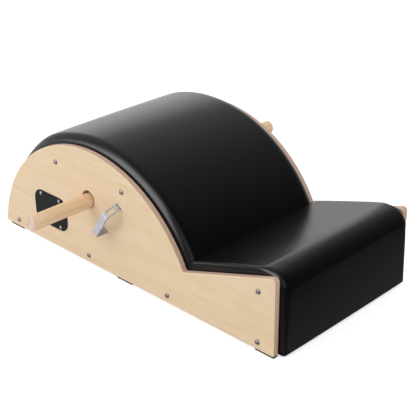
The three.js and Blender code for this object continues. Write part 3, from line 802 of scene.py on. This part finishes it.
def strap_bracket(side_name, side):
    made = prism(both_faces(bracket_line(), bar_thickness), -bar_width / 2, bar_width / 2)
    bar = object_of(side_name + "_bracket_bar", made, aluminium)
    bend = Vector((bracket_run, bracket_top))
    leg = (Vector((bracket_span, bracket_landing)) - bend).normalized()
    middle = bend + leg * (slot_end + slot_length / 2)
    half, deep = Vector((slot_length / 2, slot_width / 2)), bar_thickness + overrun
    slot = object_of("slot", prism(rounded_rectangle(-half, half, slot_corner, count=4), -deep, deep))
    slot.data.transform(Matrix((
        (leg.x, leg.y, 0, middle.x), (0, 0, 1, 0), (leg.y, -leg.x, 0, middle.y), (0, 0, 0, 1))))
    cut(bar, [slot])
    bevel = bar.modifiers.new("eased_edges", "BEVEL")
    bevel.width = bar_ease
    bevel.segments = 3
    bevel.angle_limit = sharp_angle
    settle(bar)
    foot = bracket_point(0, 0, 0, side)
    up, off = bracket_point(1, 0, 0, side) - foot, Vector((0, side, 0))
    turn = Matrix((up, off.cross(up), off)).transposed().to_4x4()
    bar.data.transform(Matrix.Translation(foot) @ turn)
    bar.data.set_sharp_from_angle(angle=sharp_angle)
    even_shading(bar)
    place(bar, "frame", "satin_aluminium", side_name + "_strap_bracket")


for side_name, side in panel_sides.items():
    strap_bracket(side_name, side)


# Pole, a dowel with rounded ends
def pole_profile():
    near, far = pole_low.y - pole_near_reach, pole_high.y + pole_far_reach
    radius = pole_high.x - pole_middle.x
    end = [(radius - pole_chamfer * (1 - math.sin(a)), pole_chamfer * (1 - math.cos(a)))
           for a in np.linspace(0, quarter_turn, 7)]
    return [(0, far), *[(r, far - y) for r, y in end],
            *[(r, near + y) for r, y in reversed(end)], (0, near)]


pole = object_of("beech_pole", turned(pole_profile(), pole_middle.x, pole_middle.z, sides=96), dowel)
even_shading(pole)
place(pole, "pole", "dowel_wood", "pole")

# Plate on the near panel
plate_low, plate_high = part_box("name_plate")
plate_outline = rounded_rectangle(plate_low.xz, plate_high.xz, plate_corner, count=14)
plate = object_of(
    "blank_plate", prism(plate_outline, plate_low.y, plate_high.y, plate_ease, segments=3), coated)
plate_holes = bmesh.new()
for x, z in plate_screw_places:
    add_to(plate_holes, rod(plate_bore, plate_low.y - overrun, plate_high.y + overrun, x, z, sides=16))
cut(plate, [object_of("holes", plate_holes)])
even_shading(plate)
place(plate, "frame", "black_plate", "name_plate")


# Screws: one node tree turns a point for each screw into a button head with a hexagon socket
def screw_tree():
    tree = bpy.data.node_groups.new("button_head_screws", "GeometryNodeTree")
    face = tree.interface.new_socket
    identifiers = {"Places": face("Places", in_out="INPUT", socket_type="NodeSocketGeometry").identifier}
    kinds = {**{name: "Float" for name in panel_screw}, "Seed": "Int", "Finish": "Material"}
    for name, kind in kinds.items():
        identifiers[name] = face(name, in_out="INPUT", socket_type="NodeSocket" + kind).identifier
    face("Screws", in_out="OUTPUT", socket_type="NodeSocketGeometry")
    given = add_node(tree, "NodeGroupInput").outputs

    def number(operation, *terms):
        return maths(tree, operation, *terms)

    def lifted(mesh, z):
        offset = add_node(tree, "ShaderNodeCombineXYZ", {"Z": z}).outputs[0]
        return add_node(tree, "GeometryNodeSetPosition", {"Geometry": mesh, "Offset": offset}).outputs[0]

    # The head starts as a disc, and its upper face is raised to a dome
    disc = add_node(tree, "GeometryNodeMeshCylinder", {
        "Vertices": 36, "Side Segments": 1, "Fill Segments": 6, "Radius": given["Head Radius"],
        "Depth": given["Rim Height"]}, fill_type="TRIANGLE_FAN").outputs["Mesh"]
    here = add_node(tree, "GeometryNodeInputPosition").outputs[0]
    x, y, z = add_node(tree, "ShaderNodeSeparateXYZ", {0: here}).outputs
    reach = number("SQRT", number("ADD", number("POWER", x, 2.0), number("POWER", y, 2.0)))
    share = number("DIVIDE", reach, given["Head Radius"])
    dome = number("SQRT", number("MAXIMUM", number("SUBTRACT", 1.0, number("POWER", share, 2.0)), 0.0))
    upper = number("GREATER_THAN", z, 0.0)
    raised = lifted(disc, number("MULTIPLY", upper, number("MULTIPLY", dome, given["Dome Height"])))
    half_rim = number("DIVIDE", given["Rim Height"], 2.0)
    shank = add_node(tree, "GeometryNodeMeshCylinder", {
        "Vertices": 20, "Radius": given["Shank Radius"], "Depth": given["Shank Length"]}).outputs["Mesh"]
    hung = lifted(shank, number("MULTIPLY_ADD", given["Shank Length"], -0.5, half_rim))
    whole = add_node(tree, "GeometryNodeMeshBoolean", operation="UNION", solver="EXACT")
    tree.links.new(lifted(raised, half_rim), whole.inputs["Mesh 2"])
    tree.links.new(hung, whole.inputs["Mesh 2"])
    socket = add_node(tree, "GeometryNodeMeshCylinder", {
        "Vertices": 6, "Radius": given["Socket Radius"],
        "Depth": number("MULTIPLY", given["Socket Depth"], 2.0)}).outputs["Mesh"]
    top = number("ADD", given["Rim Height"], given["Dome Height"])
    bored = add_node(tree, "GeometryNodeMeshBoolean", {
        "Mesh 1": whole.outputs["Mesh"], "Mesh 2": lifted(socket, top)},
        operation="DIFFERENCE", solver="EXACT")

    # A screw stands on each point, faces out of its panel, and is turned by chance about its own axis
    facing = add_node(tree, "GeometryNodeInputNamedAttribute", {"Name": "facing"},
                      data_type="FLOAT").outputs[0]
    lean_over = add_node(tree, "ShaderNodeCombineXYZ", {
        "X": number("MULTIPLY", facing, -quarter_turn)}).outputs[0]
    stood = add_node(tree, "GeometryNodeInstanceOnPoints", {
        "Points": given["Places"], "Instance": bored.outputs["Mesh"], "Rotation": lean_over}).outputs[0]
    chance = add_node(tree, "FunctionNodeRandomValue", {"Seed": given["Seed"]}, data_type="FLOAT")
    chance.inputs[3].default_value = 2 * math.pi
    spin = add_node(tree, "ShaderNodeCombineXYZ", {"Z": chance.outputs[1]}).outputs[0]
    spun = add_node(tree, "GeometryNodeRotateInstances", {
        "Instances": stood, "Rotation": spin, "Local Space": True}).outputs[0]
    real = add_node(tree, "GeometryNodeRealizeInstances", {"Geometry": spun}).outputs[0]
    painted = add_node(tree, "GeometryNodeSetMaterial", {
        "Geometry": real, "Material": given["Finish"]}).outputs[0]
    add_node(tree, "NodeGroupOutput", {"Screws": painted})
    return tree, identifiers


def screws(name, tree, identifiers, sizes, nodes):
    """One piece that holds all screws of a kind, set where their nodes are."""
    points = []
    for node in nodes:
        x, z = middle_of(node)
        low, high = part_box(node)
        side, tip = (1, low.y) if low.y + high.y > 0 else (-1, high.y)
        points.append((x, tip + side * sizes["Shank Length"], z, side))
    mesh = bpy.data.meshes.new(name)
    mesh.from_pydata([p[:3] for p in points], [], [])
    facing = mesh.attributes.new("facing", "FLOAT", "POINT")
    facing.data.foreach_set("value", [p[3] for p in points])
    piece = linked(name, mesh)
    modifier = piece.modifiers.new("screws", "NODES")
    modifier.node_group = tree
    for key, value in {**sizes, "Finish": steel}.items():
        modifier[identifiers[key]] = value
    settle(piece)
    piece.data.shade_smooth()
    piece.data.set_sharp_from_angle(angle=sharp_angle)
    place(piece, "frame", "steel", *nodes)


tree, identifiers = screw_tree()
rail_screw_nodes = [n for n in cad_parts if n.endswith("_rail_screw")]
screws("panel_screws", tree, identifiers, panel_screw, rail_screw_nodes)
screws("plate_screws", tree, identifiers, plate_screw, plate_screw_nodes)


# Pads. Each is a ring of points, drawn at every column of its outline and joined to the next.
def pad_section(half, bends, crown, shoulder_rows, crown_rows, wall_rows):
    """One ring of a pad: its Y places, how far each lies below the pad's face, and how far up the
    pad's height it belongs, from 0 on the deck to 1 on the face."""
    turns = np.linspace(0, quarter_turn, shoulder_rows + 1)
    ends = [(half - bend * (1 - np.cos(turns)), bend * (1 - np.sin(turns))) for bend in bends]
    middle = np.linspace(-(half - bends[0]), half - bends[1], crown_rows + 1)[1:-1]
    y = np.concatenate([-ends[0][0], middle, ends[1][0][::-1]])
    drop = np.concatenate([ends[0][1], 0 * middle, ends[1][1][::-1]]) + crown * (y / half) ** 2
    walls = np.arange(wall_rows) / wall_rows
    floor_y = y[::-1][1:-1]
    at_wall = np.ones(wall_rows)
    ring_y = np.concatenate([-half * at_wall, y, half * at_wall, floor_y])
    ring_drop = np.concatenate([drop[0] * at_wall, drop, drop[-1] * at_wall, 0 * floor_y])
    return ring_y, ring_drop, np.concatenate([walls, np.ones(len(y)), walls[::-1], 0 * floor_y])


def pad_rings(columns, inset, ends, shoulder_rows=10, crown_rows=34, wall_rows=3):
    """The rings of a pad: for each column its points, and which of them the deck or a panel holds.
    A column has a foot on the deck and a top on the pad's face."""
    rings = []
    for (foot, top), (near, far, crown) in zip(columns, ends):
        bends = near - inset, far - inset
        y, drop, lift = pad_section(pad_half - inset, bends, crown, shoulder_rows, crown_rows, wall_rows)
        height = (top - foot).length
        limit = min(1, max(0, (height - side_wall) / drop.max()))
        share = lift * (1 - drop * limit / max(height, least_height))
        rings.append(np.stack([foot.x + (top.x - foot.x) * share, y, foot.y + (top.y - foot.y) * share], 1))
    return np.array(rings), lift < 1


def fullness_at(angle):
    """How far the barrel pad's face lies past its plain radius at some angle."""
    t = min(1, max(0, (-angle - thinning_start) / (thinning_end - thinning_start)))
    bulge = barrel_bulge * math.exp(-((angle - bulge_angle) / bulge_spread) ** 2)
    return bulge - heel_thinning * t * t * (3 - 2 * t)


def ends_at(columns, name):
    """At each column the rounds of a pad's near and far end, and how far the ends lie lower."""
    tops = [top for foot, top in columns]
    if name == "barrel":
        shares = [min(1, max(0, 1 - arc_angle(p) / bulge_angle)) for p in tops]
        rounder = far_shoulder_top - far_shoulder_left
        return [(barrel_shoulder, far_shoulder_left + rounder * t, barrel_crown) for t in shares]
    reach = np.cumsum([0, *[(b - a).length for a, b in zip(tops, tops[1:])]])
    reach -= reach[int(np.argmax([p.x + p.y for p in tops]))]
    kinds = seat_near_shoulders, seat_far_shoulders, seat_crowns
    return list(zip(*[np.interp(reach, seat_stations, values) for values in kinds]))


def whole_pad(first, first_tops, first_wall, middle, last, last_tops, last_wall):
    """All columns of a pad, and which of them its end walls hold. The columns of an end wall and of
    the round above it share one foot."""
    columns = [*[(first, p) for p in first_tops], *middle, *[(last, p) for p in last_tops]]
    held = first_wall + held_round, last_wall + held_round
    return columns, [True] * held[0] + [False] * (len(columns) - sum(held)) + [True] * held[1]


def barrel_columns(inset, count=96):
    """Columns of the barrel pad from its lower end, along its arc, to its end in the crease."""
    foot = deck_radius + rest_gap
    top = pad_radius - inset
    low = panel_floor + deck_lift + inset
    rest = -seat_deck_depth + rest_gap + inset
    foot_ends = heel_angle(foot, low), arc_angle(seat_meets_arc(foot, rest))
    top_ends = heel_angle(top - heel_thinning, low), arc_angle(seat_meets_arc(top, rest))
    tops = [on_arc(top + fullness_at(a), a) for a in np.linspace(*top_ends, count + 1)]
    feet = arc_points(foot, *foot_ends, count)
    heel = rounded(feet[0], tops[0], tops[2], pad_corner_round, count=5)
    end = rounded(tops[-3], tops[-1], feet[-1], crease_round, count=4)
    walls = between(feet[0], heel[0], count=4), between(feet[-1], end[-1], count=4)[::-1]
    # The last points of the arc give way to the rounds
    return whole_pad(feet[0], walls[0] + heel, len(walls[0]), zip(feet[2:-2], tops[2:-2]),
                     feet[-1], end + walls[1], len(walls[1]))


def seat_columns(inset, top_count=24, bend_count=12, nose_count=16, front_count=16):
    """Columns of the seat pad from the crease, up the seat, round the nose and down the front."""
    deck = -seat_deck_depth + rest_gap
    face = panel_end + front_overhang + seat_fullness - inset
    board_face = front_board_x + deck_thickness + rest_gap
    low = panel_floor + deck_lift - seat_hem + max(0, inset - cover_slack)
    rear = pad_radius + pad_gap + inset
    start = seat_meets_arc(rear, seat_rise_rear - inset)
    crest = on_seat(seat_crest_x, seat_rise_crest - inset)
    corner = crest + Vector((1, math.tan(seat_nose_lift))) * (face - crest.x)
    toe, last = Vector((face + seat_lean, low)), Vector((board_face, low))
    first, base_corner = seat_meets_arc(rear, deck), on_seat(board_face, deck)
    bow = rounded(start, crest, corner, seat_crest_round - inset, bend_count)
    nose = rounded(crest, corner, toe, seat_nose_round - inset, nose_count)
    base_nose = rounded(first, base_corner, last, deck_nose_round + rest_gap, nose_count)
    back = arc_points(rear, arc_angle(first), arc_angle(start), count=6)[:-1]
    crease = rounded(back[-1], start, bow[0], crease_round, count=4)
    under = rounded(nose[-1], toe, last, pad_corner_round, count=5)
    front_wall = between(last, under[-1], count=4)[::-1]
    tops = [*between(crease[-1], bow[0], top_count)[1:], *bow[:-1], *nose,
            *between(nose[-1], under[0], front_count)[1:]]
    feet = [*between(first, base_nose[0], top_count + bend_count)[1:], *base_nose,
            *between(base_nose[-1], last, front_count)[1:]]
    return whole_pad(first, back + crease, len(back), zip(feet, tops),
                     last, under + front_wall, len(front_wall))


def tuck(rings):
    """Leans both ends of the seat pad's back into the room that the barrel pad's shoulders leave."""
    past = np.abs(rings[..., 1]) - (pad_half - barrel_shoulder)
    share = np.clip(past / barrel_shoulder, 0, 1)
    room = barrel_shoulder * (1 - np.sqrt(1 - share**2))
    inward = np.stack([arc_centre.x - rings[..., 0], arc_centre.y - rings[..., 2]], -1)
    length = np.linalg.norm(inward, axis=-1)
    near = np.clip(1 - (length - pad_radius) / seat_tuck_run, 0, 1)
    rings[..., ::2] += inward / length[..., None] * (tuck_share * room * near**2)[..., None]


def pad_object(name, suffix, columns, held_columns, inset, material, **rows):
    """A closed pad, with the points that stay where they are in a group of their own."""
    rings, held_ring = pad_rings(columns, inset, ends_at(columns, name), **rows)
    if name == "seat":
        tuck(rings)
    made = bmesh.new()
    group = made.verts.layers.deform.verify()
    points = [[made.verts.new(p) for p in ring] for ring in rings]
    for ring, held_column in zip(points, held_columns):
        for vertex, held in zip(ring, held_ring):
            if held or held_column:
                vertex[group][0] = 1
    for one, other in zip(points, points[1:]):
        for j in range(len(one)):
            made.faces.new((one[j - 1], one[j], other[j], other[j - 1]))
    bmesh.ops.remove_doubles(made, verts=made.verts, dist=weld_distance)
    bmesh.ops.recalc_face_normals(made, faces=made.faces)
    piece = object_of(name + suffix, made, material)
    piece.vertex_groups.new(name="held")
    return piece


def coordinates_of(mesh, collection="vertices", name="co"):
    flat = np.empty(len(mesh.vertices) * 3, np.float32)
    getattr(mesh, collection).foreach_get(name, flat)
    return flat.reshape(-1, 3)


def evened(mesh, moved):
    """A movement of each point with its ripples taken out: points that moved are drawn toward the
    mean of their neighbours, over and over."""
    ends = np.empty(len(mesh.edges) * 2, np.int32)
    mesh.edges.foreach_get("vertices", ends)
    a, b = ends.reshape(-1, 2).T
    free = np.linalg.norm(moved, axis=1, keepdims=True) > held_still
    count = np.bincount(ends, minlength=len(moved))[:, None]
    for _ in range(evening_rounds):
        mean = np.zeros_like(moved)
        np.add.at(mean, a, moved[b])
        np.add.at(mean, b, moved[a])
        moved = np.where(free, (moved + mean / count) / 2, moved)
    return moved


def swell(piece, pressure):
    """Blows a cover up against its held edges as cloth. No point sinks, and none goes past a cap."""
    start = coordinates_of(piece.data)
    outward = coordinates_of(piece.data, "vertex_normals", "vector")
    cloth = piece.modifiers.new("cloth", "CLOTH")
    for key, value in {**cloth_settings, "uniform_pressure_force": pressure}.items():
        setattr(cloth.settings, key, value)
    cloth.settings.effector_weights.gravity = 0
    for step in range(1, cloth_frames + 1):
        bpy.context.scene.frame_set(step)
    settle(piece)
    bpy.context.scene.frame_set(1)
    moved = evened(piece.data, coordinates_of(piece.data) - start)
    moved -= outward * np.minimum((moved * outward).sum(1, keepdims=True), 0)
    length = np.maximum(np.linalg.norm(moved, axis=1, keepdims=True), least_length)
    placed = start + moved / length * swell_cap * np.tanh(length / swell_cap)
    placed[:, 1] = np.clip(placed[:, 1], -pad_half, pad_half)
    piece.data.vertices.foreach_set("co", placed.ravel())
    piece.data.update()


def finish_pad(piece, slot, node):
    piece.vertex_groups.clear()
    smoother = piece.modifiers.new("subdivision", "SUBSURF")
    smoother.levels = smoother.render_levels = 1
    settle(piece)
    place(piece, "frame", slot, node)


pads = {"barrel": (barrel_columns, barrel_pressure), "seat": (seat_columns, seat_pressure)}
for name, (columns_of, pressure) in pads.items():
    cover = pad_object(name, "_pad_cover", *columns_of(cover_slack), cover_slack, vinyl)
    swell(cover, pressure)
    finish_pad(cover, "black_vinyl", name + "_cover")
    core = pad_object(name, "_pad_foam", *columns_of(foam_inset), foam_inset, foam,
                      shoulder_rows=4, crown_rows=8, wall_rows=1)
    finish_pad(core, "grey_foam", name + "_foam")


# The floor, light and camera
def window_level(tree, direction):
    """How bright the tall soft window on the near left is in some direction. It leans to the right."""
    x, y, z = add_node(tree, "ShaderNodeSeparateXYZ", {0: direction}).outputs
    across = maths(tree, "MULTIPLY_ADD", z, -window_lean, x)
    level = window_radiance
    for value, run in ((across, window_left), (across, window_right), (y, window_back),
                       (z, window_sill), (z, window_head)):
        level = maths(tree, "MULTIPLY", level, remapped(tree, value, run, kind="SMOOTHSTEP"))
    return level


def seen_directly(tree):
    """1 for a ray from the camera, and 1 for a ray that a surface mirrors or lets through."""
    rays = add_node(tree, "ShaderNodeLightPath").outputs
    mirrored = maths(tree, "MAXIMUM", rays["Is Glossy Ray"], rays["Is Transmission Ray"])
    return rays["Is Camera Ray"], mirrored


def floor_paint():
    """Pale paint, lifted to white for the camera. What mirrors the floor sees it bright by the wall
    and dark at the other end."""
    material = bpy.data.materials.new("pale_floor_paint")
    tree = cleared(material)
    camera_ray, mirrored_ray = seen_directly(tree)
    paint = add_node(tree, "ShaderNodeBsdfDiffuse", {"Color": srgb("#e0e0e0")})
    lift = add_node(tree, "ShaderNodeEmission", {
        "Color": (1, 1, 1, 1), "Strength": maths(tree, "MULTIPLY", camera_ray, floor_lift)})
    lifted = add_node(tree, "ShaderNodeAddShader", {0: paint.outputs[0], 1: lift.outputs[0]})
    x = part_of(tree, add_node(tree, "ShaderNodeTexCoord").outputs["Object"], "X")
    mirrored = add_node(tree, "ShaderNodeEmission", {
        "Color": (1, 1, 1, 1), "Strength": remapped(tree, x, mirrored_floor_run, mirrored_floor_levels)})
    both = add_node(tree, "ShaderNodeMixShader", {
        0: mirrored_ray, 1: lifted.outputs[0], 2: mirrored.outputs[0]})
    add_node(tree, "ShaderNodeOutputMaterial", {"Surface": both.outputs[0]})
    return material


floor_mesh = bmesh.new()
bmesh.ops.create_grid(floor_mesh, x_segments=1, y_segments=1, size=floor_half)
floor = object_of("floor", floor_mesh, floor_paint())


def studio():
    """White for the camera, a room with a white wall on the left for what surfaces mirror, and an
    even level for what lights them."""
    world = bpy.data.worlds.new("studio")
    bpy.context.scene.world = world
    tree = cleared(world)
    camera_ray, mirrored_ray = seen_directly(tree)
    direction = add_node(tree, "ShaderNodeTexCoord").outputs["Generated"]
    x, y, z = add_node(tree, "ShaderNodeSeparateXYZ", {0: direction}).outputs
    room = remapped(tree, x, room_run, room_levels)
    below = remapped(tree, z, horizon, (1.0, floor_share))
    room = maths(tree, "MULTIPLY_ADD", room, below, window_level(tree, direction))
    glow = remapped(tree, x, glow_left, (0.0, glow_level))
    room = maths(tree, "MULTIPLY_ADD", glow, remapped(tree, y, glow_near), room)
    level = maths(tree, "SUBTRACT", room, fill_level)
    level = maths(tree, "MULTIPLY_ADD", mirrored_ray, level, fill_level)
    level = maths(tree, "MULTIPLY_ADD", camera_ray, 1 - fill_level, level)
    light = add_node(tree, "ShaderNodeBackground", {"Color": (1, 1, 1, 1), "Strength": level})
    add_node(tree, "ShaderNodeOutputWorld", {"Surface": light.outputs[0]})


studio()


def lamp(name, direction, distance, width, height, radiance):
    """A soft box that looks at the object from some direction, as bright as its face is to be."""
    light = bpy.data.lights.new(name, "AREA")
    light.shape = "RECTANGLE"
    light.size = width
    light.size_y = height
    light.energy = radiance * math.pi * width * height
    made = linked(name, light)
    made.visible_camera = False
    toward = Vector(direction).normalized()
    made.location = lamp_target + toward * distance
    made.rotation_euler = toward.to_track_quat("Z", "Y").to_euler()
    return made


key = lamp("key_softbox", (-0.40, -0.90, 0.50), distance=9.0, width=5.2, height=3.9, radiance=3.0)
key.visible_glossy = False  # surfaces mirror the window instead
lamp("rim_softbox", (-0.80, 0.62, 0.30), distance=2.8, width=2.4, height=1.2, radiance=0.5)

camera_data = bpy.data.cameras.new("camera")
camera_data.sensor_width = camera_sensor
camera_data.lens = camera_lens
camera_data.clip_end = camera_reach
camera = linked("camera", camera_data)
aim = Euler((quarter_turn - camera_elevation, 0, camera_azimuth)).to_matrix()
aim = aim @ Matrix.Rotation(camera_roll, 3, "Z")
camera.matrix_world = Matrix.Translation(camera_place) @ aim.to_4x4()
bpy.context.scene.camera = camera
bpy.context.scene.view_settings.view_transform = "Standard"
